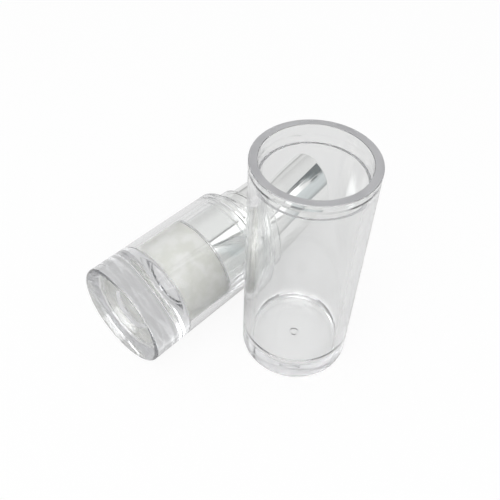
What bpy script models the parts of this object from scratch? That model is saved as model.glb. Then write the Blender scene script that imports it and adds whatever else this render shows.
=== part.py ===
"""Clear lipstick tube, opened: the base lies on its side and the cap stands mouth up beside it.

Metres, +Z up. The base's axis runs along +X and the cap's axis along +Z. Sizes are built up from
the carrier cup outwards, and from the closed end of the base forwards.
"""
import math

import bmesh
import bpy
from mathutils import Matrix, Vector

MM = 0.001

# Clearances
FIT_GAP = 0.1 * MM
SEAT_GAP = 0.3 * MM
SLEEVE_GAP = 0.2 * MM
STAND_GAP = 1.15 * MM
OVERRUN = 1.0 * MM

# Walls of the mechanism, from the carrier cup outwards
CUP_BORE_RADIUS = 6.05 * MM
CUP_WALL = 0.35 * MM
TUBE_WALL = 0.45 * MM
CAM_WALL = 0.45 * MM
SLEEVE_WALL = 0.4 * MM
COLLAR_WALL = 1.3 * MM
NECK_WALL = 0.74 * MM
SHELL_WALL = 1.4 * MM

# Lengths of the base, from its closed end forwards
FLOOR_THICKNESS = 9.2 * MM
CORE_LENGTH = 11.1 * MM
COLLAR_SEAT_LENGTH = 10.8 * MM
NECK_LENGTH = 5.0 * MM
SLEEVE_LENGTH = 38.0 * MM
CLOSED_END_ROUND = 0.6 * MM
SHOULDER_ROUND = 0.45 * MM

# Base shell
FLOOR_RECESS_RADIUS = 4.1 * MM
FLOOR_RECESS_DEPTH = 0.4 * MM

# Snap ring between the shell and the collar, and the one that holds the cap
SNAP_BELOW_SHOULDER = 1.7 * MM
SNAP_HALF_WIDTH = 0.4 * MM
SNAP_HEIGHT = 0.15 * MM
BEAD_ABOVE_SHOULDER = 1.9 * MM
BEAD_HALF_WIDTH = 0.4 * MM
BEAD_HEIGHT = 0.3 * MM
NECK_TIP_ROUND = 0.3 * MM

# Mechanism base
CORE_EDGE_ROUND = 0.3 * MM
CORE_SKIRT_WALL = 1.2 * MM
CORE_RECESS_DEPTH = 1.5 * MM
CORE_WEB = 1.2 * MM
POST_COUNT = 3
POST_RADIUS = 0.7 * MM
POST_CIRCLE_RADIUS = 7.0 * MM

# Twist mechanism
LEAD = 12.0 * MM
TURNS = 2.0
LUG_RADIUS = 1.0 * MM
LUG_ABOVE_CUP_FOOT = 2.0 * MM
SLOT_GAP = 0.15 * MM
SLOT_END_WALL = 1.2 * MM
RING_SECTION_RADIUS = 0.27 * MM
TUBE_BEAD_HEIGHT = 0.3 * MM
TUBE_BEAD_LENGTH = 0.7 * MM
CAM_END_GAP = 0.3 * MM

# Carrier cup
CUP_LENGTH = 13.2 * MM
CUP_WEB_ABOVE_FOOT = 3.2 * MM
CUP_WEB = 0.8 * MM
CUP_RIB_COUNT = 4
CUP_RIB_WIDTH = 0.6 * MM
CUP_RIB_HEIGHT = 0.25 * MM
CUP_RIM_GAP = 1.5 * MM

# Inner sleeve
SLEEVE_TIP_ROUND = 0.8 * MM
SLEEVE_TIP_INNER_ROUND = 0.4 * MM

# Cap
CAP_LENGTH = 48.6 * MM
CAP_FLOOR = 2.5 * MM
CAP_FLOOR_ROUND = 1.2 * MM
CAP_FOOT_ROUND = 1.0 * MM
CAP_LIP_ROUND = 0.15 * MM
MOUTH_RELIEF = 0.44 * MM
MOUTH_RELIEF_DEPTH = 3.7 * MM
GROOVE_DEPTH = 0.12 * MM
GATE_MARK_RADIUS = 0.8 * MM
GATE_MARK_DEPTH = 0.15 * MM
CAP_ALONG_BASE = 27.52 * MM

# Facets
OUTER_SEGMENTS = 56
INNER_SEGMENTS = 48
LUG_SEGMENTS = 16
RING_SECTION_SEGMENTS = 8
HELIX_STEPS_PER_TURN = 32
ROUND_STEPS = 3
WELD_DISTANCE = 0.0001 * MM
SMOOTH_ANGLE = math.radians(35)

# Radii that follow from the walls
CUP_RADIUS = CUP_BORE_RADIUS + CUP_WALL
TUBE_BORE_RADIUS = CUP_RADIUS + FIT_GAP
TUBE_RADIUS = TUBE_BORE_RADIUS + TUBE_WALL
CAM_BORE_RADIUS = TUBE_RADIUS + FIT_GAP
CAM_RADIUS = CAM_BORE_RADIUS + CAM_WALL
SLEEVE_BORE_RADIUS = CAM_RADIUS + FIT_GAP
SLEEVE_RADIUS = SLEEVE_BORE_RADIUS + SLEEVE_WALL
COLLAR_BORE_RADIUS = SLEEVE_RADIUS + SLEEVE_GAP
COLLAR_RADIUS = COLLAR_BORE_RADIUS + COLLAR_WALL
NECK_RADIUS = COLLAR_BORE_RADIUS + NECK_WALL
SHELL_BORE_RADIUS = COLLAR_RADIUS + FIT_GAP
BODY_RADIUS = SHELL_BORE_RADIUS + SHELL_WALL
CAP_BORE_RADIUS = NECK_RADIUS + FIT_GAP
MOUTH_RADIUS = CAP_BORE_RADIUS + MOUTH_RELIEF
SLOT_HALF_WIDTH = LUG_RADIUS + SLOT_GAP

# Stations along the base, measured from its closed end
CORE_START = FLOOR_THICKNESS + SEAT_GAP
CORE_END = CORE_START + CORE_LENGTH
CORE_WEB_BOTTOM = CORE_START + CORE_RECESS_DEPTH
CORE_WEB_TOP = CORE_WEB_BOTTOM + CORE_WEB
COLLAR_START = CORE_END + SEAT_GAP
SHOULDER = COLLAR_START + COLLAR_SEAT_LENGTH
NECK_END = SHOULDER + NECK_LENGTH
SLEEVE_START = CORE_END + SEAT_GAP
SLEEVE_END = SLEEVE_START + SLEEVE_LENGTH
TUBE_START = CORE_WEB_TOP + SEAT_GAP
TUBE_END = SLEEVE_END - SLEEVE_WALL - SEAT_GAP
TUBE_BEAD_START = TUBE_END - TUBE_BEAD_LENGTH
RING_STATION = SLEEVE_START + FIT_GAP + RING_SECTION_RADIUS
CAM_START = RING_STATION + RING_SECTION_RADIUS + SEAT_GAP
CAM_END = TUBE_BEAD_START - CAM_END_GAP
LUG_STATION = CAM_START + SLOT_END_WALL + SLOT_HALF_WIDTH
CUP_TRAVEL = LEAD * TURNS
CUP_START = LUG_STATION - LUG_ABOVE_CUP_FOOT
CUP_END = CUP_START + CUP_LENGTH

# Places on the table: the box's middle is at the frame's origin
STAND_DISTANCE = 2 * BODY_RADIUS + STAND_GAP
BASE_PLACE = Vector((-SLEEVE_END / 2, STAND_DISTANCE / 2, BODY_RADIUS))
CAP_PLACE = Vector((BASE_PLACE.x + CAP_ALONG_BASE, -STAND_DISTANCE / 2, 0))


def clear_scene():
    for old in list(bpy.data.objects):
        bpy.data.objects.remove(old, do_unlink=True)


def make_material(name, colour, roughness, metallic=0.0, transmission=0.0):
    material = bpy.data.materials.new(name)
    material.use_nodes = True
    shader = material.node_tree.nodes["Principled BSDF"]
    shader.inputs["Base Color"].default_value = (*colour, 1)
    shader.inputs["Roughness"].default_value = roughness
    shader.inputs["Metallic"].default_value = metallic
    shader.inputs["Transmission Weight"].default_value = transmission
    return material


def rounded_corner(before, corner, after, radius):
    """Points of the arc that rounds one corner of an outline."""
    into = (before - corner).normalized()
    out = (after - corner).normalized()
    half = into.angle(out) / 2
    setback = min(radius / math.tan(half), (before - corner).length / 2, (after - corner).length / 2)
    centre = corner + (into + out).normalized() * setback / math.cos(half)
    start = corner + into * setback - centre
    end = corner + out * setback - centre
    sweep = start.angle_signed(end)
    points = []
    for step in range(ROUND_STEPS + 1):
        turn = -sweep * step / ROUND_STEPS
        x = start.x * math.cos(turn) - start.y * math.sin(turn)
        y = start.x * math.sin(turn) + start.y * math.cos(turn)
        points.append(centre + Vector((x, y)))
    return points


def rounded_outline(outline):
    """Turns corners (radius, station, rounding) into plain points (radius, station)."""
    corners = [Vector(point[:2]) for point in outline]
    points = []
    for index, entry in enumerate(outline):
        if len(entry) < 3:
            points.append(corners[index])
            continue
        before = corners[index - 1]
        after = corners[(index + 1) % len(corners)]
        points += rounded_corner(before, corners[index], after, entry[2])
    return points


def mesh_object(name, shape, material=None):
    bmesh.ops.recalc_face_normals(shape, faces=shape.faces)
    mesh = bpy.data.meshes.new(name)
    shape.to_mesh(mesh)
    shape.free()
    mesh.shade_smooth()
    mesh.set_sharp_from_angle(angle=SMOOTH_ANGLE)
    piece = bpy.data.objects.new(name, mesh)
    bpy.context.scene.collection.objects.link(piece)
    if material:
        mesh.materials.append(material)
    return piece


def turned(name, outline, segments, material=None):
    """Spins an outline of (radius, station) points about Z; one that starts on the axis ends there."""
    shape = bmesh.new()
    verts = [shape.verts.new((point.x, 0, point.y)) for point in rounded_outline(outline)]
    pairs = list(zip(verts, verts[1:]))
    if outline[0][0] > 0:
        pairs.append((verts[-1], verts[0]))
    edges = [shape.edges.new(pair) for pair in pairs]
    bmesh.ops.spin(shape, geom=verts + edges, cent=(0, 0, 0), axis=(0, 0, 1),
                   angle=2 * math.pi, steps=segments, use_merge=True)
    bmesh.ops.remove_doubles(shape, verts=shape.verts, dist=WELD_DISTANCE)
    return mesh_object(name, shape, material)


def add_box(shape, centre, size):
    box = bmesh.ops.create_cube(shape, size=1)["verts"]
    bmesh.ops.scale(shape, vec=size, verts=box)
    bmesh.ops.translate(shape, vec=centre, verts=box)
    return box


def add_rod(shape, start, end, radius, segments):
    """Adds a round rod between two points."""
    along = end - start
    rod = bmesh.ops.create_cone(shape, cap_ends=True, segments=segments, radius1=radius,
                                radius2=radius, depth=along.length)["verts"]
    turn = Vector((0, 0, 1)).rotation_difference(along).to_matrix()
    bmesh.ops.rotate(shape, cent=(0, 0, 0), matrix=turn, verts=rod)
    bmesh.ops.translate(shape, vec=(start + end) / 2, verts=rod)
    return rod


def combine(piece, tool, operation):
    """Applies a helper shape to a piece with a Boolean, and hides the helper."""
    tool.hide_render = True
    tool.display_type = "WIRE"
    tool.parent = piece
    change = piece.modifiers.new(tool.name, "BOOLEAN")
    change.operation = operation
    change.solver = "EXACT"
    change.object = tool


def make_empty(name, place, parent=None, lying=False):
    empty = bpy.data.objects.new(name, None)
    bpy.context.scene.collection.objects.link(empty)
    empty.location = place
    empty.rotation_euler = (0, math.pi / 2 if lying else 0, 0)
    empty.parent = parent
    return empty


def ring_ridge(radius, station, half_width, height):
    """Three points of a low ridge, or a groove with a negative half width, on a turned wall."""
    return [(radius, station - half_width), (radius + height, station), (radius, station + half_width)]


def make_base_shell(clear):
    snap = ring_ridge(SHELL_BORE_RADIUS, SHOULDER - SNAP_BELOW_SHOULDER, -SNAP_HALF_WIDTH, SNAP_HEIGHT)
    recess = FLOOR_THICKNESS - FLOOR_RECESS_DEPTH
    outline = [(0, 0), (BODY_RADIUS, 0, CLOSED_END_ROUND), (BODY_RADIUS, SHOULDER, SHOULDER_ROUND),
               (SHELL_BORE_RADIUS, SHOULDER), *snap, (SHELL_BORE_RADIUS, FLOOR_THICKNESS),
               (FLOOR_RECESS_RADIUS, FLOOR_THICKNESS), (FLOOR_RECESS_RADIUS, recess), (0, recess)]
    return turned("base_shell", outline, OUTER_SEGMENTS, clear)


def make_neck_collar(clear):
    snap = ring_ridge(COLLAR_RADIUS, SHOULDER - SNAP_BELOW_SHOULDER, SNAP_HALF_WIDTH, SNAP_HEIGHT)
    bead = ring_ridge(NECK_RADIUS, SHOULDER + BEAD_ABOVE_SHOULDER, BEAD_HALF_WIDTH, BEAD_HEIGHT)
    outline = [(COLLAR_BORE_RADIUS, COLLAR_START), (COLLAR_RADIUS, COLLAR_START), *snap,
               (COLLAR_RADIUS, SHOULDER), (NECK_RADIUS, SHOULDER), *bead,
               (NECK_RADIUS, NECK_END, NECK_TIP_ROUND), (COLLAR_BORE_RADIUS, NECK_END)]
    return turned("neck_collar", outline, OUTER_SEGMENTS, clear)


def make_mechanism_base(milky):
    socket_radius = TUBE_RADIUS + FIT_GAP
    skirt_radius = COLLAR_RADIUS - CORE_SKIRT_WALL
    outline = [(0, CORE_WEB_BOTTOM), (skirt_radius, CORE_WEB_BOTTOM), (skirt_radius, CORE_START),
               (COLLAR_RADIUS, CORE_START, CORE_EDGE_ROUND), (COLLAR_RADIUS, CORE_END, CORE_EDGE_ROUND),
               (socket_radius, CORE_END), (socket_radius, CORE_WEB_TOP), (0, CORE_WEB_TOP)]
    core = turned("mechanism_base", outline, OUTER_SEGMENTS, milky)
    posts = bmesh.new()
    for index in range(POST_COUNT):
        angle = 2 * math.pi * index / POST_COUNT
        across = Vector((math.cos(angle), math.sin(angle), 0)) * POST_CIRCLE_RADIUS
        foot = across + Vector((0, 0, CORE_START))
        head = across + Vector((0, 0, CORE_WEB_BOTTOM + CORE_WEB / 2))
        add_rod(posts, foot, head, POST_RADIUS, LUG_SEGMENTS)
    combine(core, mesh_object("core_posts", posts), "UNION")
    return core


def make_inner_sleeve(silver):
    mouth = TUBE_BORE_RADIUS
    outline = [(SLEEVE_BORE_RADIUS, SLEEVE_START), (SLEEVE_RADIUS, SLEEVE_START),
               (SLEEVE_RADIUS, SLEEVE_END, SLEEVE_TIP_ROUND), (mouth, SLEEVE_END),
               (mouth, SLEEVE_END - SLEEVE_WALL),
               (SLEEVE_BORE_RADIUS, SLEEVE_END - SLEEVE_WALL, SLEEVE_TIP_INNER_ROUND)]
    return turned("inner_sleeve", outline, OUTER_SEGMENTS, silver)


def helix_cutter(start_angle):
    """A ribbon that follows the lugs from their lowest to their highest place in the cam."""
    end_turn = SLOT_HALF_WIDTH / CAM_RADIUS
    first = -end_turn
    last = 2 * math.pi * TURNS + end_turn
    slope = math.atan2(LEAD, 2 * math.pi * CAM_RADIUS)
    half = SLOT_HALF_WIDTH / math.cos(slope)
    inner = CAM_BORE_RADIUS - OVERRUN
    outer = CAM_RADIUS + OVERRUN
    steps = math.ceil((last - first) / (2 * math.pi) * HELIX_STEPS_PER_TURN)
    ribbon = bmesh.new()
    rings = []
    for step in range(steps + 1):
        turn = first + (last - first) * step / steps
        station = LUG_STATION + LEAD * turn / (2 * math.pi)
        angle = start_angle - turn
        corners = [(inner, -half), (outer, -half), (outer, half), (inner, half)]
        rings.append([ribbon.verts.new((radius * math.cos(angle), radius * math.sin(angle), station + rise))
                      for radius, rise in corners])
    for low, high in zip(rings, rings[1:]):
        for side in range(4):
            after = (side + 1) % 4
            ribbon.faces.new((low[side], low[after], high[after], high[side]))
    ribbon.faces.new(rings[0])
    ribbon.faces.new(reversed(rings[-1]))
    return mesh_object(f"cam_slot_{round(math.degrees(start_angle))}", ribbon)


def make_cam_sleeve(white):
    outline = [(CAM_BORE_RADIUS, CAM_START), (CAM_RADIUS, CAM_START),
               (CAM_RADIUS, CAM_END), (CAM_BORE_RADIUS, CAM_END)]
    cam = turned("cam_sleeve", outline, INNER_SEGMENTS, white)
    for start_angle in (math.pi / 2, math.pi * 3 / 2):
        combine(cam, helix_cutter(start_angle), "DIFFERENCE")
    return cam


def make_slotted_tube(white):
    outline = [(TUBE_BORE_RADIUS, TUBE_START), (TUBE_RADIUS, TUBE_START), (TUBE_RADIUS, TUBE_BEAD_START),
               (TUBE_RADIUS + TUBE_BEAD_HEIGHT, TUBE_BEAD_START + TUBE_BEAD_HEIGHT),
               (TUBE_RADIUS + TUBE_BEAD_HEIGHT, TUBE_END), (TUBE_BORE_RADIUS, TUBE_END)]
    tube = turned("slotted_tube", outline, INNER_SEGMENTS, white)
    slots = bmesh.new()
    size = (2 * SLOT_HALF_WIDTH, 2 * (TUBE_RADIUS + OVERRUN), CUP_TRAVEL + 2 * SLOT_HALF_WIDTH)
    add_box(slots, (0, 0, LUG_STATION + CUP_TRAVEL / 2), size)
    combine(tube, mesh_object("tube_slots", slots), "DIFFERENCE")
    return tube


def make_friction_ring(rubber):
    centre_radius = (TUBE_RADIUS + SLEEVE_BORE_RADIUS) / 2
    outline = []
    for step in range(RING_SECTION_SEGMENTS):
        angle = 2 * math.pi * step / RING_SECTION_SEGMENTS
        outline.append((centre_radius + RING_SECTION_RADIUS * math.cos(angle),
                        RING_STATION + RING_SECTION_RADIUS * math.sin(angle)))
    return turned("friction_ring", outline, INNER_SEGMENTS, rubber)


def make_carrier_cup(white):
    web_bottom = CUP_START + CUP_WEB_ABOVE_FOOT
    web_top = web_bottom + CUP_WEB
    outline = [(0, web_bottom), (CUP_BORE_RADIUS, web_bottom), (CUP_BORE_RADIUS, CUP_START),
               (CUP_RADIUS, CUP_START), (CUP_RADIUS, CUP_END), (CUP_BORE_RADIUS, CUP_END),
               (CUP_BORE_RADIUS, web_top), (0, web_top)]
    cup = turned("carrier_cup", outline, INNER_SEGMENTS, white)
    extras = bmesh.new()
    lug_root = CUP_RADIUS - CUP_WALL / 2
    lug_tip = CAM_RADIUS - FIT_GAP
    for side in (1, -1):
        add_rod(extras, Vector((0, side * lug_root, LUG_STATION)), Vector((0, side * lug_tip, LUG_STATION)),
                LUG_RADIUS, LUG_SEGMENTS)
    combine(cup, mesh_object("cup_lugs", extras), "UNION")
    combine(cup, make_cup_ribs(web_top), "UNION")
    return cup


def make_cup_ribs(web_top):
    """Small upright ribs on the cup's inside wall that grip the stick."""
    ribs = bmesh.new()
    inner = CUP_BORE_RADIUS - CUP_RIB_HEIGHT
    outer = CUP_BORE_RADIUS + CUP_WALL / 2
    low = web_top - CUP_WEB / 2
    high = CUP_END - CUP_RIM_GAP
    for index in range(CUP_RIB_COUNT):
        box = add_box(ribs, ((inner + outer) / 2, 0, (low + high) / 2),
                      (outer - inner, CUP_RIB_WIDTH, high - low))
        angle = math.pi / 4 + 2 * math.pi * index / CUP_RIB_COUNT
        bmesh.ops.rotate(ribs, cent=(0, 0, 0), matrix=Matrix.Rotation(angle, 3, "Z"), verts=box)
    return mesh_object("cup_ribs", ribs)


def make_cap(clear):
    groove_station = CAP_LENGTH - BEAD_ABOVE_SHOULDER
    groove = ring_ridge(MOUTH_RADIUS, groove_station, -BEAD_HALF_WIDTH, GROOVE_DEPTH)
    relief_end = CAP_LENGTH - MOUTH_RELIEF_DEPTH
    mark = CAP_FLOOR - GATE_MARK_DEPTH
    outline = [(0, 0), (BODY_RADIUS, 0, CAP_FOOT_ROUND), (BODY_RADIUS, CAP_LENGTH, CAP_LIP_ROUND),
               (MOUTH_RADIUS, CAP_LENGTH, CAP_LIP_ROUND), *groove, (MOUTH_RADIUS, relief_end),
               (CAP_BORE_RADIUS, relief_end), (CAP_BORE_RADIUS, CAP_FLOOR, CAP_FLOOR_ROUND),
               (GATE_MARK_RADIUS, CAP_FLOOR), (GATE_MARK_RADIUS, mark), (0, mark)]
    return turned("cap", outline, OUTER_SEGMENTS, clear)


def main():
    clear_scene()
    shell_plastic = make_material("base_shell", (0.93, 0.94, 0.94), 0.03, transmission=1.0)
    collar_plastic = make_material("neck_collar", (0.93, 0.94, 0.94), 0.03, transmission=1.0)
    cap_plastic = make_material("cap", (0.92, 0.93, 0.93), 0.03, transmission=1.0)
    core_plastic = make_material("mechanism_base", (0.80, 0.81, 0.77), 0.4)
    silver = make_material("inner_sleeve", (0.86, 0.87, 0.88), 0.08, metallic=1.0)
    cam_plastic = make_material("cam_sleeve", (0.87, 0.87, 0.85), 0.4)
    tube_plastic = make_material("slotted_tube", (0.88, 0.88, 0.86), 0.4)
    cup_plastic = make_material("carrier_cup", (0.90, 0.90, 0.88), 0.35)
    rubber = make_material("friction_ring", (0.55, 0.55, 0.54), 0.6)

    base_axis = make_empty("base_axis", BASE_PLACE, lying=True)
    twist_axis = make_empty("twist_axis", (0, 0, 0), parent=base_axis)
    lift_axis = make_empty("lift_axis", (0, 0, 0), parent=base_axis)
    cap_axis = make_empty("cap_axis", CAP_PLACE)

    make_base_shell(shell_plastic).parent = base_axis
    make_mechanism_base(core_plastic).parent = base_axis
    make_neck_collar(collar_plastic).parent = base_axis
    make_slotted_tube(tube_plastic).parent = base_axis
    make_friction_ring(rubber).parent = base_axis
    make_inner_sleeve(silver).parent = twist_axis
    make_cam_sleeve(cam_plastic).parent = twist_axis
    make_carrier_cup(cup_plastic).parent = lift_axis
    make_cap(cap_plastic).parent = cap_axis
    bpy.context.view_layer.update()


main()
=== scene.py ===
"""Studio scene for the opened clear lipstick tube.

Metres, +Z up. The base lies along +X and the cap stands mouth up on the -Y side. Stations run along
a part's own axis, in millimetres: from the closed end of the base, or from the table for the cap.
"""

import math

import bmesh
import bpy
from mathutils import Matrix, Vector


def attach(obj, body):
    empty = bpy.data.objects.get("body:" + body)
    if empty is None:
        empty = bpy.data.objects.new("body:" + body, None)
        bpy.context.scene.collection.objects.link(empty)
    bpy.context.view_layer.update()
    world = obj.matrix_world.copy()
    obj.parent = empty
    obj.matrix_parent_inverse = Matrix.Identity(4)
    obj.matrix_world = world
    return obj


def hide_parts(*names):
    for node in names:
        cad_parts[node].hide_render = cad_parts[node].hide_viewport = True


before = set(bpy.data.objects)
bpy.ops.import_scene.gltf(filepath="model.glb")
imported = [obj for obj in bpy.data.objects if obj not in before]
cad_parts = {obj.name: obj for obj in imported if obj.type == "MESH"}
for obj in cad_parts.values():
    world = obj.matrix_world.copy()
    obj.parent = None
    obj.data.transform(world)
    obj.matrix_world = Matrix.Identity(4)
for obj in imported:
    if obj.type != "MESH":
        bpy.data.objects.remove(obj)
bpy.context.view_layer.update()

MM = 0.001

# Turned meshes
SEGMENTS = 256
ROUND_STEPS = 8
GUARD = 0.03
WELD_DISTANCE = 1e-7
SMOOTH_ANGLE = math.radians(25)

# Radii, stations and roundings, in millimetres
SHARP = 0.05
CRISP = 0.1
SOFT = 0.3
RIDGE_ROUND = 0.3
BODY_RADIUS = 11.0

SHELL_BORE = 9.6
SHELL_FLOOR = 9.2
SHELL_FLOOR_ROUND = 0.25
SHOULDER = 31.7
SHOULDER_ROUND = 0.45
CLOSED_END_ROUND = 0.6
PLATEAU_RADIUS = 8.2
PLATEAU_TOP = SHELL_FLOOR + 0.9
PLATEAU_ROUND = 0.15
DIMPLE_RADIUS = 4.6
DIMPLE_SLOPE = 40
SEAM_STATION = 2.15
SEAM_HALF_WIDTH = 0.1
SEAM_DEPTH = 0.04
SNAP_STATION = 30.0
SNAP_HALF_WIDTH = 0.4
SNAP_HEIGHT = 0.15

CORE_RADIUS = 9.5
CORE_START = 9.5
CORE_END = 20.6
CORE_WEB_BOTTOM = 11.0
CORE_WEB_TOP = 12.2
SKIRT_BORE = 8.3
SOCKET_RADIUS = 7.05
POST_COUNT = 3
POST_PITCH = 7.0
POST_RADIUS = 0.7
POST_START = PLATEAU_TOP + 0.1
POST_SEGMENTS = 32

COLLAR_START = 20.9
COLLAR_RADIUS = 9.5
COLLAR_BORE = 8.2
NECK_RADIUS = 8.94
NECK_END = 36.7
BEAD_STATION = 33.6
BEAD_HALF_WIDTH = 0.4
BEAD_HEIGHT = 0.3

SLEEVE_RADIUS = 8.0
SLEEVE_BORE = 7.6
SLEEVE_WALL = SLEEVE_RADIUS - SLEEVE_BORE
SLEEVE_START = 20.9
SLEEVE_END = 58.9
SLEEVE_MOUTH = 6.5
SLEEVE_TIP_ROUND = 0.8
SLEEVE_INNER_ROUND = 0.4
SLEEVE_LIP_ROUND = 0.15

CAP_LENGTH = 48.6
CAP_FLOOR = 2.5
CAP_FLOOR_ROUND = 3.2
CAP_FOOT_ROUND = 1.0
CAP_LIP_ROUND = 0.15
CAP_BORE = 9.04
CAP_MOUTH = 9.48
RELIEF_END = 44.9
GROOVE_STATION = CAP_LENGTH - 1.9
GROOVE_HALF_WIDTH = 0.5
GROOVE_DEPTH = 0.06
GATE_MARK = ((1.1, 0), (0.9, 0.25), (0.7, 0.25), (0.5, 0))  # radius and depth of a ring-shaped groove

BASE_PLACE = Vector((-29.45, 11.575, 11.0)) * MM
CAP_PLACE = Vector((-1.93, -11.575, 0.0)) * MM
BASE_MATRIX = Matrix.Translation(BASE_PLACE) @ Matrix.Rotation(math.pi / 2, 4, "Y")
CAP_MATRIX = Matrix.Translation(CAP_PLACE)

# Clear plastic
CLEAR = (0.985, 0.988, 0.986, 1)
CLEAR_IOR = 1.57
ABSORBED = (0.0, 0.01, 0.06, 1)
ABSORPTION = 12.0
SMUDGE_ROUGHNESS = 0.03
RIPPLE_HEIGHT = 0.000003
WAVE_HEIGHT = 0.00009
WAVE_FADE = 0.1
CUT_DARK = (0.32, 0.32, 0.33, 1)
CUT_LIGHT = (0.365, 0.365, 0.375, 1)
CUT_STATION = CAP_LENGTH - 0.01
CUT_FADE = 0.02
CUT_GRAIN_HEIGHT = 0.00001
CUT_ROUGHNESS = (0.38, 0.55)
HAZY_TRANSMISSION = 0.97
CUT_TRANSMISSION = 0.3

# Milky core, metal and plain plastics
MILK_DARK = (0.88, 0.885, 0.83, 1)
MILK_LIGHT = (0.99, 0.99, 0.955, 1)
# Painted shade: a dark band round the core's open end, standing in for the shadowed gap to the collar
MILK_GAP_SHADE = (0.42, 0.42, 0.36, 1)
GAP_SHADE_START = CORE_END - 0.25
GAP_SHADE_FULL = CORE_END - 0.1
MILK_GRAIN_HEIGHT = 0.00001
MILK_ROUGHNESS = 0.38
MILK_SUBSURFACE = 0.2
MILK_DEPTH = 0.002
METAL_DARK = (0.90, 0.905, 0.895, 1)
METAL_LIGHT = (0.935, 0.94, 0.93, 1)
METAL_LINE_HEIGHT = 0.0000008
METAL_ROUGHNESS = (0.02, 0.07)
PLASTIC_GRAIN_HEIGHT = 0.000008
PLASTIC_DARKER = 0.95
PLASTIC_ROUGHNESS = 0.4
RUBBER_ROUGHNESS = 0.6
GLOSS_SPREAD = 0.06
CUP_WHITE = (0.90, 0.90, 0.88)
TUBE_WHITE = (0.88, 0.88, 0.86)
CAM_WHITE = (0.87, 0.87, 0.85)
RING_GREY = (0.55, 0.55, 0.54)

# Camera, in radians and metres
YAW, PITCH, ROLL = 0.8412, 0.8267, 0.0366
CAMERA_PLACE = Vector((-67.81, -56.90, 112.77)) * MM
SENSOR_WIDTH = 36
FOCAL_LENGTH = 45.19
CLIP_START = 0.005

# Table: how much of its look is its glow for each kind of ray, and the glow by distance from the cap, which
# paints a pool of light under the cap and shade around it
TABLE_SIZE = 2.0
TABLE_DROP = 0.0002
TABLE_COLOUR = (0.62, 0.62, 0.62, 1)
TABLE_ROUGHNESS = 0.9
GLOW_SHARES = {"Is Camera Ray": 0.92, "Is Transmission Ray": 0.75, "Is Glossy Ray": 0.3}
PAINTED_POOL_REACH = (0.008, 0.018)
PAINTED_POOL_LEVELS = (0.97, 0.78)
FAR_TABLE_REACH = (0.08, 0.3)
FAR_TABLE_GLOW = 0.97

# Room: angles in degrees and brightness
SKY_RISE = (20, 50)
SKY_LEVELS = (0.74, 0.93)
DUSK_RISE = (14, 2)
DUSK = 0.38
FAR_ROOM_RISE = (16, 4)
FAR_ROOM_LEVEL = 0.97
WINDOW_TOP = 72.5
WINDOW_BOTTOM = ((27, 31), (68, 50))
WINDOW_SIDES = (20, 36.7)
WINDOW_EDGE = 0.7
WINDOW_LIGHT = 0.5
STREAK_PATH = ((26, 32), (64, 42))
STREAK_HALF_WIDTH = 4.0
STREAK_SIDES = (20, 31)
STREAK_EDGE = 1.5
STREAK_SHADE = 0.5
LINE_BAND = (75.4, 78.2)
LINE_SIDES = (18, 37)
LINE_EDGE = 0.4
LINE_FADE = (18, 27)
LINE_SHADE = 0.95
SCREEN_BOTTOM = ((37.2, 38.8), (73, 50))
SCREEN_TOP = ((34, 40), (82, 91.5))
SCREEN_EDGE = 0.8
SCREEN_SHADE = 0.86
SCREEN_TEAR = 8.0
GLIMPSE_BAND = (61, 71)
GLIMPSE_SIDES = (37.2, 38.3)
GLIMPSE_EDGE = 1.2
GLIMPSE = 0.5
TIP_SIDES = (33, 46)
TIP_EDGE = 2.0
BELOW_BAND = (0, 50)
BELOW_SHADE = 0.09
BELOW_COOLNESS = 0.4
ABOVE_BAND = (84, 150)
ABOVE_SHADE = 0.16
COOL = (0.80, 0.95, 1.0, 1)
WHITE = (1, 1, 1, 1)

# Lamp, in metres and watts
LAMP_PLACE = (-0.33, -0.2, 0.52)
LAMP_TARGET = (0, 0, 0.02)
LAMP_SIZE = 0.8
LAMP_ENERGY = 4.5

CLEAR_BOUNCES = 48
DIFFUSE_BOUNCES = 4


# Camera
def make_camera():
    ahead = Vector((math.sin(YAW) * math.cos(PITCH), math.cos(YAW) * math.cos(PITCH), -math.sin(PITCH)))
    right = Vector((math.cos(YAW), -math.sin(YAW), 0))
    up = right.cross(ahead)
    right_rolled = math.cos(ROLL) * right + math.sin(ROLL) * up
    up_rolled = math.cos(ROLL) * up - math.sin(ROLL) * right
    place = Matrix((right_rolled, up_rolled, -ahead)).transposed().to_4x4()
    place.translation = CAMERA_PLACE
    data = bpy.data.cameras.new("camera")
    data.sensor_width = SENSOR_WIDTH
    data.lens = FOCAL_LENGTH
    data.clip_start = CLIP_START
    camera = bpy.data.objects.new("camera", data)
    camera.matrix_world = place
    bpy.context.scene.collection.objects.link(camera)
    bpy.context.scene.camera = camera


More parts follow.
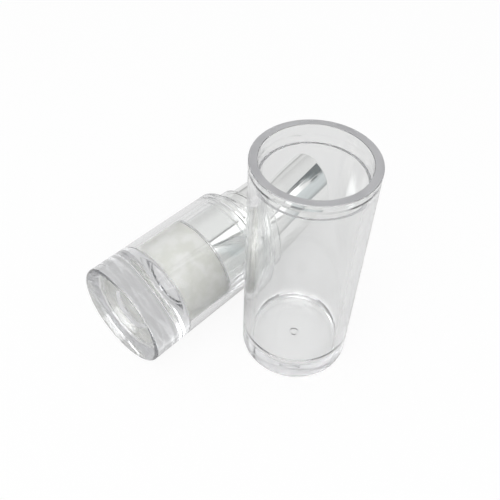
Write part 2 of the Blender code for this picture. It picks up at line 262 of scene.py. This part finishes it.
# Node helpers
class Nodes:
    """A node tree with short calls for the few kinds of node used here."""

    def __init__(self, tree):
        self.tree = tree

    def add(self, kind, **settings):
        node = self.tree.nodes.new(kind)
        for name, value in settings.items():
            setattr(node, name, value)
        return node

    def feed(self, target, value):
        """Gives a socket a number, a colour or another socket's value."""
        if isinstance(value, bpy.types.NodeSocket):
            self.tree.links.new(value, target)
        else:
            target.default_value = value

    def math(self, operation, *values):
        node = self.add("ShaderNodeMath", operation=operation)
        for index, value in enumerate(values):
            self.feed(node.inputs[index], value)
        return node.outputs[0]

    def times(self, first, second):
        return self.math("MULTIPLY", first, second)

    def dimmed(self, level, share):
        """The level with a share of it taken away."""
        return self.times(level, self.math("SUBTRACT", 1.0, share))

    def ramp(self, value, reach, levels=(0.0, 1.0), smooth=True):
        """Goes from one level to the other as the value crosses the reach."""
        node = self.add("ShaderNodeMapRange", interpolation_type="SMOOTHSTEP" if smooth else "LINEAR")
        for name, number in zip(("Value", "From Min", "From Max", "To Min", "To Max"),
                                (value, *reach, *levels)):
            self.feed(node.inputs[name], number)
        return node.outputs["Result"]

    def noise(self, vector, scale, detail=2.0, roughness=0.5, stretch=(1, 1, 1)):
        mapping = self.add("ShaderNodeMapping")
        mapping.inputs["Scale"].default_value = stretch
        self.feed(mapping.inputs["Vector"], vector)
        node = self.add("ShaderNodeTexNoise")
        node.inputs["Scale"].default_value = scale
        node.inputs["Detail"].default_value = detail
        node.inputs["Roughness"].default_value = roughness
        self.feed(node.inputs["Vector"], mapping.outputs[0])
        return node.outputs["Fac"]

    def mix(self, factor, first, second):
        node = self.add("ShaderNodeMix", data_type="RGBA")
        self.feed(node.inputs["Factor"], factor)
        self.feed(node.inputs["A"], first)
        self.feed(node.inputs["B"], second)
        return node.outputs["Result"]

    def bump(self, height, distance=1.0):
        node = self.add("ShaderNodeBump")
        node.inputs["Strength"].default_value = 1.0
        node.inputs["Distance"].default_value = distance
        self.feed(node.inputs["Height"], height)
        return node.outputs["Normal"]

    def coordinates(self, kind):
        return self.add("ShaderNodeTexCoord").outputs[kind]

    def split(self, vector):
        node = self.add("ShaderNodeSeparateXYZ")
        self.feed(node.inputs[0], vector)
        return node.outputs


def new_material(name, **inputs):
    """A Principled material with constant sockets set, with its nodes, its shader and its output."""
    material = bpy.data.materials.new(name)
    material.use_nodes = True
    shader = material.node_tree.nodes["Principled BSDF"]
    for socket, value in inputs.items():
        shader.inputs[socket.replace("_", " ")].default_value = value
    return material, Nodes(material.node_tree), shader, material.node_tree.nodes["Material Output"]


# Materials
def clear_plastic(name, matt_from=None, wavy_below=None):
    """Polished clear plastic with faint smudges and the slow ripple of a moulded wall.

    Above the station matt_from its surface is cut and matt; below wavy_below it is less even.
    """
    material, nodes, shader, output = new_material(name, IOR=CLEAR_IOR, Base_Color=CLEAR,
                                                   Transmission_Weight=1.0)
    absorption = nodes.add("ShaderNodeVolumeAbsorption")
    absorption.inputs["Color"].default_value = ABSORBED
    absorption.inputs["Density"].default_value = ABSORPTION
    nodes.feed(output.inputs["Volume"], absorption.outputs[0])
    place = nodes.coordinates("Object")
    station = nodes.split(place)[2]
    smudge = nodes.noise(place, 260, detail=3.0, roughness=0.55)
    roughness = nodes.ramp(smudge, (0.42, 0.72), (0.0, SMUDGE_ROUGHNESS))
    ripple = nodes.noise(place, 120, detail=1.0, roughness=0.4, stretch=(1, 1, 0.35))
    height = nodes.times(ripple, RIPPLE_HEIGHT)
    if wavy_below:
        wavy = nodes.ramp(station, ((wavy_below + WAVE_FADE) * MM, (wavy_below - WAVE_FADE) * MM))
        wave = nodes.times(nodes.noise(place, 400, detail=1.0, roughness=0.4), WAVE_HEIGHT)
        height = nodes.math("ADD", height, nodes.times(wave, wavy))
    if matt_from:
        matt = nodes.ramp(station, ((matt_from - CUT_FADE) * MM, matt_from * MM))
        grain = nodes.noise(place, 3000, detail=3.0, roughness=0.6)
        cut = nodes.mix(nodes.ramp(nodes.noise(place, 200), (0.3, 0.7)), CUT_DARK, CUT_LIGHT)
        nodes.feed(shader.inputs["Base Color"], nodes.mix(matt, CLEAR, cut))
        nodes.feed(shader.inputs["Transmission Weight"],
                   nodes.ramp(matt, (0, 1), (HAZY_TRANSMISSION, CUT_TRANSMISSION)))
        rough = nodes.ramp(grain, (0.3, 0.7), CUT_ROUGHNESS)
        roughness = nodes.ramp(matt, (0, 1), (roughness, rough))
        height = nodes.math("ADD", height, nodes.times(nodes.times(grain, CUT_GRAIN_HEIGHT), matt))
    nodes.feed(shader.inputs["Roughness"], roughness)
    nodes.feed(shader.inputs["Normal"], nodes.bump(height))
    return material


def milky_plastic(name):
    """Milky moulded plastic with cloudy patches and a dark band of painted shade at its open end, where the
    gap to the collar lies in shadow.
    """
    material, nodes, shader, _ = new_material(name, Roughness=MILK_ROUGHNESS, Subsurface_Scale=MILK_DEPTH,
                                              Subsurface_Weight=MILK_SUBSURFACE,
                                              Subsurface_Radius=(1, 1, 1))
    place = nodes.coordinates("Object")
    cloud = nodes.ramp(nodes.noise(place, 330, detail=3.0, roughness=0.55), (0.38, 0.62))
    # Painted shade of the shadowed gap to the collar, as a dark band at the core's open end
    gap_shade = nodes.ramp(nodes.split(place)[2], (GAP_SHADE_START * MM, GAP_SHADE_FULL * MM))
    body = nodes.mix(cloud, MILK_DARK, MILK_LIGHT)
    nodes.feed(shader.inputs["Base Color"], nodes.mix(gap_shade, body, MILK_GAP_SHADE))
    nodes.feed(shader.inputs["Normal"], nodes.bump(nodes.noise(place, 900), MILK_GRAIN_HEIGHT))
    return material


def polished_metal(name):
    """Bright drawn aluminium: long fine lines along the sleeve, barely visible."""
    material, nodes, shader, _ = new_material(name, Metallic=1.0)
    place = nodes.coordinates("Object")
    lines = nodes.noise(place, 2600, detail=3.0, roughness=0.6, stretch=(1, 1, 0.02))
    nodes.feed(shader.inputs["Base Color"], nodes.mix(nodes.noise(place, 150), METAL_DARK, METAL_LIGHT))
    nodes.feed(shader.inputs["Roughness"], nodes.ramp(lines, (0.3, 0.8), METAL_ROUGHNESS))
    nodes.feed(shader.inputs["Normal"], nodes.bump(lines, METAL_LINE_HEIGHT))
    return material


def plain_plastic(name, colour, roughness=PLASTIC_ROUGHNESS):
    """Smooth moulded plastic or rubber with a faintly uneven colour and gloss."""
    material, nodes, shader, _ = new_material(name, Specular_IOR_Level=0.5)
    place = nodes.coordinates("Object")
    cloud = nodes.noise(place, 300, detail=3.0, roughness=0.6)
    darker = tuple(channel * PLASTIC_DARKER for channel in colour)
    nodes.feed(shader.inputs["Base Color"], nodes.mix(cloud, (*darker, 1), (*colour, 1)))
    nodes.feed(shader.inputs["Roughness"],
               nodes.ramp(cloud, (0.3, 0.7), (roughness - GLOSS_SPREAD, roughness + GLOSS_SPREAD)))
    nodes.feed(shader.inputs["Normal"], nodes.bump(nodes.noise(place, 1500), PLASTIC_GRAIN_HEIGHT))
    return material


# Turned pieces
def rounded_corner(before, corner, after, radius):
    into = (before - corner).normalized()
    out = (after - corner).normalized()
    half = into.angle(out) / 2
    setback = min(radius / math.tan(half), (before - corner).length / 2, (after - corner).length / 2)
    centre = corner + (into + out).normalized() * setback / math.cos(half)
    start = corner + into * setback - centre
    end = corner + out * setback - centre
    sweep = start.angle_signed(end)
    points = []
    for step in range(ROUND_STEPS + 1):
        turn = -sweep * step / ROUND_STEPS
        points.append(centre + Vector((start.x * math.cos(turn) - start.y * math.sin(turn),
                                       start.x * math.sin(turn) + start.y * math.cos(turn))))
    return points


def rounded_outline(outline):
    """Turns corners (radius, station, rounding) into plain points (radius, station)."""
    corners = [Vector(point[:2]) for point in outline]
    points = []
    for index, entry in enumerate(outline):
        if len(entry) < 3:
            points.append(corners[index])
            continue
        after = corners[(index + 1) % len(corners)]
        points += rounded_corner(corners[index - 1], corners[index], after, entry[2])
    return points


def guarded(points):
    """Adds a ring close to each end of a long straight stretch, so that its shading stays true."""
    result = []
    for index, start in enumerate(points):
        result.append(start)
        along = points[(index + 1) % len(points)] - start
        closes_on_axis = index == len(points) - 1 and points[0].x == 0
        if along.length > 4 * GUARD and not closes_on_axis:
            step = along.normalized() * GUARD
            result += [start + step, start + along - step]
    return result


def turned(name, outline, place, material, body, node):
    """A piece turned about its own axis from an outline, standing in for one CAD node."""
    shape = bmesh.new()
    verts = [shape.verts.new((point.x * MM, 0, point.y * MM)) for point in guarded(rounded_outline(outline))]
    pairs = list(zip(verts, verts[1:]))
    if outline[0][0] > 0:
        pairs.append((verts[-1], verts[0]))
    edges = [shape.edges.new(pair) for pair in pairs]
    bmesh.ops.spin(shape, geom=verts + edges, cent=(0, 0, 0), axis=(0, 0, 1),
                   angle=2 * math.pi, steps=SEGMENTS, use_merge=True)
    bmesh.ops.remove_doubles(shape, verts=shape.verts, dist=WELD_DISTANCE)
    bmesh.ops.recalc_face_normals(shape, faces=shape.faces)
    mesh = bpy.data.meshes.new(name)
    shape.to_mesh(mesh)
    shape.free()
    mesh.shade_smooth()
    mesh.set_sharp_from_angle(angle=SMOOTH_ANGLE)
    mesh.materials.append(material)
    piece = bpy.data.objects.new(name, mesh)
    bpy.context.scene.collection.objects.link(piece)
    piece.matrix_world = place
    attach(piece, body)
    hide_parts(node)
    return piece


def ridge(radius, station, half_width, height):
    """A ridge, or a groove where the height is negative. A negative width runs it backwards."""
    return [(radius, station - half_width), (radius + height, station, RIDGE_ROUND),
            (radius, station + half_width)]


def dimple(top):
    """A hollow of part of a ball in a flat face, from its rim to its middle."""
    ball = DIMPLE_RADIUS / math.sin(math.radians(DIMPLE_SLOPE))
    turns = [math.radians(DIMPLE_SLOPE * (1 - step / ROUND_STEPS)) for step in range(ROUND_STEPS + 1)]
    return [(ball * math.sin(turn), top - ball * (math.cos(turn) - math.cos(turns[0]))) for turn in turns]


def make_shell(plastic):
    snap = ridge(SHELL_BORE, SNAP_STATION, -SNAP_HALF_WIDTH, SNAP_HEIGHT)
    seam = ridge(BODY_RADIUS, SEAM_STATION, SEAM_HALF_WIDTH, -SEAM_DEPTH)
    outline = [(0, 0), (BODY_RADIUS, 0, CLOSED_END_ROUND), *seam, (BODY_RADIUS, SHOULDER, SHOULDER_ROUND),
               (SHELL_BORE, SHOULDER, SHARP), *snap, (SHELL_BORE, SHELL_FLOOR, SHELL_FLOOR_ROUND),
               (PLATEAU_RADIUS, SHELL_FLOOR, SHARP), (PLATEAU_RADIUS, PLATEAU_TOP, PLATEAU_ROUND),
               *dimple(PLATEAU_TOP)]
    return turned("clear_shell", outline, BASE_MATRIX, plastic, "base", "base_shell")


def make_collar(plastic):
    snap = ridge(COLLAR_RADIUS, SNAP_STATION, SNAP_HALF_WIDTH, SNAP_HEIGHT)
    bead = ridge(NECK_RADIUS, BEAD_STATION, BEAD_HALF_WIDTH, BEAD_HEIGHT)
    outline = [(COLLAR_BORE, COLLAR_START, SHARP), (COLLAR_RADIUS, COLLAR_START, CRISP), *snap,
               (COLLAR_RADIUS, SHOULDER), (NECK_RADIUS, SHOULDER, SHARP), *bead,
               (NECK_RADIUS, NECK_END, SOFT), (COLLAR_BORE, NECK_END, CRISP)]
    return turned("clear_collar", outline, BASE_MATRIX, plastic, "base", "neck_collar")


def make_core(plastic):
    outline = [(0, CORE_WEB_BOTTOM), (SKIRT_BORE, CORE_WEB_BOTTOM), (SKIRT_BORE, CORE_START),
               (CORE_RADIUS, CORE_START, SOFT), (CORE_RADIUS, CORE_END, SOFT),
               (SOCKET_RADIUS, CORE_END, CRISP), (SOCKET_RADIUS, CORE_WEB_TOP), (0, CORE_WEB_TOP)]
    core = turned("milky_core", outline, BASE_MATRIX, plastic, "base", "mechanism_base")
    shape = bmesh.new()
    shape.from_mesh(core.data)
    middle = (POST_START + CORE_WEB_BOTTOM) / 2 * MM
    for index in range(POST_COUNT):
        turn = 2 * math.pi * index / POST_COUNT
        across = POST_PITCH * MM * Vector((math.cos(turn), math.sin(turn), 0))
        bmesh.ops.create_cone(shape, cap_ends=True, segments=POST_SEGMENTS, radius1=POST_RADIUS * MM,
                              radius2=POST_RADIUS * MM, depth=2 * (CORE_WEB_BOTTOM * MM - middle),
                              matrix=Matrix.Translation(across + Vector((0, 0, middle))))
    shape.to_mesh(core.data)
    shape.free()
    return core


def make_sleeve(metal):
    outline = [(SLEEVE_BORE, SLEEVE_START, SHARP), (SLEEVE_RADIUS, SLEEVE_START, CRISP),
               (SLEEVE_RADIUS, SLEEVE_END, SLEEVE_TIP_ROUND), (SLEEVE_MOUTH, SLEEVE_END, SLEEVE_LIP_ROUND),
               (SLEEVE_MOUTH, SLEEVE_END - SLEEVE_WALL, SLEEVE_LIP_ROUND),
               (SLEEVE_BORE, SLEEVE_END - SLEEVE_WALL, SLEEVE_INNER_ROUND)]
    return turned("silver_sleeve", outline, BASE_MATRIX, metal, "sleeve", "inner_sleeve")


def make_cap(plastic):
    groove = ridge(CAP_MOUTH, GROOVE_STATION, -GROOVE_HALF_WIDTH, GROOVE_DEPTH)
    gate_mark = [(radius, CAP_FLOOR - depth, CRISP) for radius, depth in GATE_MARK]
    outline = [(0, 0), (BODY_RADIUS, 0, CAP_FOOT_ROUND), (BODY_RADIUS, CAP_LENGTH, CAP_LIP_ROUND),
               (CAP_MOUTH, CAP_LENGTH, CAP_LIP_ROUND), *groove, (CAP_MOUTH, RELIEF_END, SHARP),
               (CAP_BORE, RELIEF_END, SHARP), (CAP_BORE, CAP_FLOOR, CAP_FLOOR_ROUND), *gate_mark,
               (0, CAP_FLOOR)]
    return turned("clear_cap", outline, CAP_MATRIX, plastic, "cap", "cap")


# Room
def table_material():
    """A pale table with a soft glow for rays through or off the clear parts, so that they stay pale; for them
    it paints a pool of light under the cap.
    """
    material, nodes, shader, output = new_material("floor", Base_Color=TABLE_COLOUR,
                                                   Roughness=TABLE_ROUGHNESS)
    rays = nodes.add("ShaderNodeLightPath").outputs
    share = 0.0
    for ray, amount in GLOW_SHARES.items():
        share = nodes.math("MAXIMUM", share, nodes.times(rays[ray], amount))
    distance = nodes.add("ShaderNodeVectorMath", operation="DISTANCE")
    nodes.feed(distance.inputs[0], nodes.coordinates("Object"))
    distance.inputs[1].default_value = CAP_PLACE
    # Painted light and shade on the table: brighter within 8 mm of the cap's axis, dimmer from 18 mm out,
    # pale again far off
    painted_pool = nodes.ramp(distance.outputs["Value"], PAINTED_POOL_REACH, PAINTED_POOL_LEVELS)
    far = nodes.ramp(distance.outputs["Value"], FAR_TABLE_REACH, (0.0, FAR_TABLE_GLOW))
    glow = nodes.add("ShaderNodeEmission")
    nodes.feed(glow.inputs["Strength"],
               nodes.ramp(rays["Is Camera Ray"], (0, 1), (nodes.math("MAXIMUM", painted_pool, far), 1.0)))
    mixer = nodes.add("ShaderNodeMixShader")
    for index, source in enumerate((share, shader.outputs[0], glow.outputs[0])):
        nodes.feed(mixer.inputs[index], source)
    nodes.feed(output.inputs["Surface"], mixer.outputs[0])
    return material


def make_floor():
    shape = bmesh.new()
    bmesh.ops.create_grid(shape, x_segments=1, y_segments=1, size=TABLE_SIZE)
    mesh = bpy.data.meshes.new("floor")
    shape.to_mesh(mesh)
    shape.free()
    mesh.materials.append(table_material())
    floor = bpy.data.objects.new("floor", mesh)
    floor.location.z = -TABLE_DROP
    bpy.context.scene.collection.objects.link(floor)


def band(nodes, value, low, high, edge):
    """One between two limits of a value, and zero outside its soft edges."""
    return nodes.times(nodes.ramp(value, (nodes.math("SUBTRACT", low, edge), nodes.math("ADD", low, edge))),
                       nodes.ramp(value, (nodes.math("ADD", high, edge), nodes.math("SUBTRACT", high, edge))))


def room_patch(nodes, angles, rows, sides, edge):
    """One inside a window of the room, which lies between two rows of up and two sides of along."""
    up, along = angles
    return nodes.times(band(nodes, up, *rows, edge), band(nodes, along, *sides, edge))


def make_world():
    """A pale room, lighter overhead, with a bright window above the cap's side and a dark screen by it.

    along is the angle towards +X; up is the angle about X, from the -Y horizon over the top.
    """
    world = bpy.data.worlds.new("room")
    world.use_nodes = True
    bpy.context.scene.world = world
    nodes = Nodes(world.node_tree)
    rays = nodes.add("ShaderNodeLightPath").outputs
    direction = nodes.coordinates("Generated")
    x, y, z = nodes.split(direction)
    elevation = nodes.times(nodes.math("ARCSINE", z), math.degrees(1))
    along = nodes.times(nodes.math("ARCSINE", x), math.degrees(1))
    up = nodes.times(nodes.math("ARCTAN2", z, nodes.times(y, -1.0)), math.degrees(1))
    angles = (up, along)

    # A pale sky, darker near the horizon in reflections and paler there through the clear parts
    dusk = nodes.times(nodes.ramp(elevation, DUSK_RISE, (0.0, DUSK)), rays["Is Glossy Ray"])
    level = nodes.dimmed(nodes.ramp(elevation, SKY_RISE, SKY_LEVELS), dusk)
    far = nodes.ramp(elevation, FAR_ROOM_RISE, (0.0, FAR_ROOM_LEVEL))
    level = nodes.math("MAXIMUM", level, nodes.times(far, rays["Is Transmission Ray"]))

    # A bright window, which the sleeve reflects as a wedge of light
    window_bottom = nodes.ramp(along, *WINDOW_BOTTOM, smooth=False)
    window = room_patch(nodes, angles, (window_bottom, WINDOW_TOP), WINDOW_SIDES, WINDOW_EDGE)
    level = nodes.math("ADD", level, nodes.times(window, WINDOW_LIGHT))

    # A soft grey streak that slants under the window, and a thin dark line above it
    middle = nodes.ramp(along, *STREAK_PATH, smooth=False)
    rows = (nodes.math("SUBTRACT", middle, STREAK_HALF_WIDTH), nodes.math("ADD", middle, STREAK_HALF_WIDTH))
    streak = room_patch(nodes, angles, rows, STREAK_SIDES, STREAK_EDGE)
    level = nodes.dimmed(level, nodes.times(streak, STREAK_SHADE))
    line = room_patch(nodes, angles, LINE_BAND, LINE_SIDES, LINE_EDGE)
    level = nodes.dimmed(level, nodes.times(line, nodes.ramp(along, LINE_FADE, (0.0, LINE_SHADE))))

    # A dark screen for the sleeve's tip, uneven along its lower edge, with a glimpse of light in it
    tear = nodes.noise(direction, 30, roughness=0.6)
    tear = nodes.ramp(tear, (0.42, 0.58), (-SCREEN_TEAR, SCREEN_TEAR), smooth=False)
    rows = (nodes.math("ADD", nodes.ramp(along, *SCREEN_BOTTOM), tear),
            nodes.ramp(along, *SCREEN_TOP, smooth=False))
    screen = room_patch(nodes, angles, rows, TIP_SIDES, SCREEN_EDGE)
    glimpse = room_patch(nodes, angles, GLIMPSE_BAND, GLIMPSE_SIDES, GLIMPSE_EDGE)
    screen = nodes.dimmed(screen, nodes.times(glimpse, GLIMPSE))
    level = nodes.dimmed(level, nodes.times(screen, SCREEN_SHADE))

    # For the tip too: cooler below the screen and duller above it
    below = room_patch(nodes, angles, BELOW_BAND, TIP_SIDES, TIP_EDGE)
    level = nodes.dimmed(level, nodes.times(below, BELOW_SHADE))
    above = room_patch(nodes, angles, ABOVE_BAND, TIP_SIDES, TIP_EDGE)
    level = nodes.dimmed(level, nodes.times(above, ABOVE_SHADE))
    coolness = nodes.math("MAXIMUM", screen, nodes.times(below, BELOW_COOLNESS))

    background = world.node_tree.nodes["Background"]
    nodes.feed(background.inputs["Strength"], nodes.math("MAXIMUM", level, rays["Is Camera Ray"]))
    nodes.feed(background.inputs["Color"], nodes.mix(coolness, WHITE, COOL))


def make_lamp():
    data = bpy.data.lights.new("key", "AREA")
    data.shape = "DISK"
    data.size = LAMP_SIZE
    data.energy = LAMP_ENERGY
    lamp = bpy.data.objects.new("key", data)
    lamp.location = LAMP_PLACE
    lamp.rotation_euler = (Vector(LAMP_TARGET) - Vector(LAMP_PLACE)).to_track_quat("-Z", "Y").to_euler()
    bpy.context.scene.collection.objects.link(lamp)


def set_render():
    scene = bpy.context.scene
    scene.view_settings.view_transform = "Standard"
    scene.cycles.max_bounces = CLEAR_BOUNCES
    scene.cycles.transmission_bounces = CLEAR_BOUNCES
    scene.cycles.glossy_bounces = CLEAR_BOUNCES
    scene.cycles.diffuse_bounces = DIFFUSE_BOUNCES
    scene.cycles.use_denoising = True


def dress_inner_pieces():
    """Gives the CAD pieces that are carried over their materials."""
    for node, material in (("carrier_cup", plain_plastic("cup_plastic", CUP_WHITE)),
                           ("slotted_tube", plain_plastic("tube_plastic", TUBE_WHITE)),
                           ("cam_sleeve", plain_plastic("cam_plastic", CAM_WHITE)),
                           ("friction_ring", plain_plastic("ring_rubber", RING_GREY, RUBBER_ROUGHNESS))):
        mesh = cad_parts[node].data
        mesh.materials.clear()
        mesh.materials.append(material)


def main():
    make_camera()
    make_world()
    make_floor()
    make_lamp()
    set_render()
    make_shell(clear_plastic("shell_plastic", wavy_below=SEAM_STATION))
    make_collar(clear_plastic("collar_plastic"))
    make_cap(clear_plastic("cap_plastic", matt_from=CUT_STATION))
    make_core(milky_plastic("core_plastic"))
    make_sleeve(polished_metal("sleeve_metal"))
    dress_inner_pieces()


main()
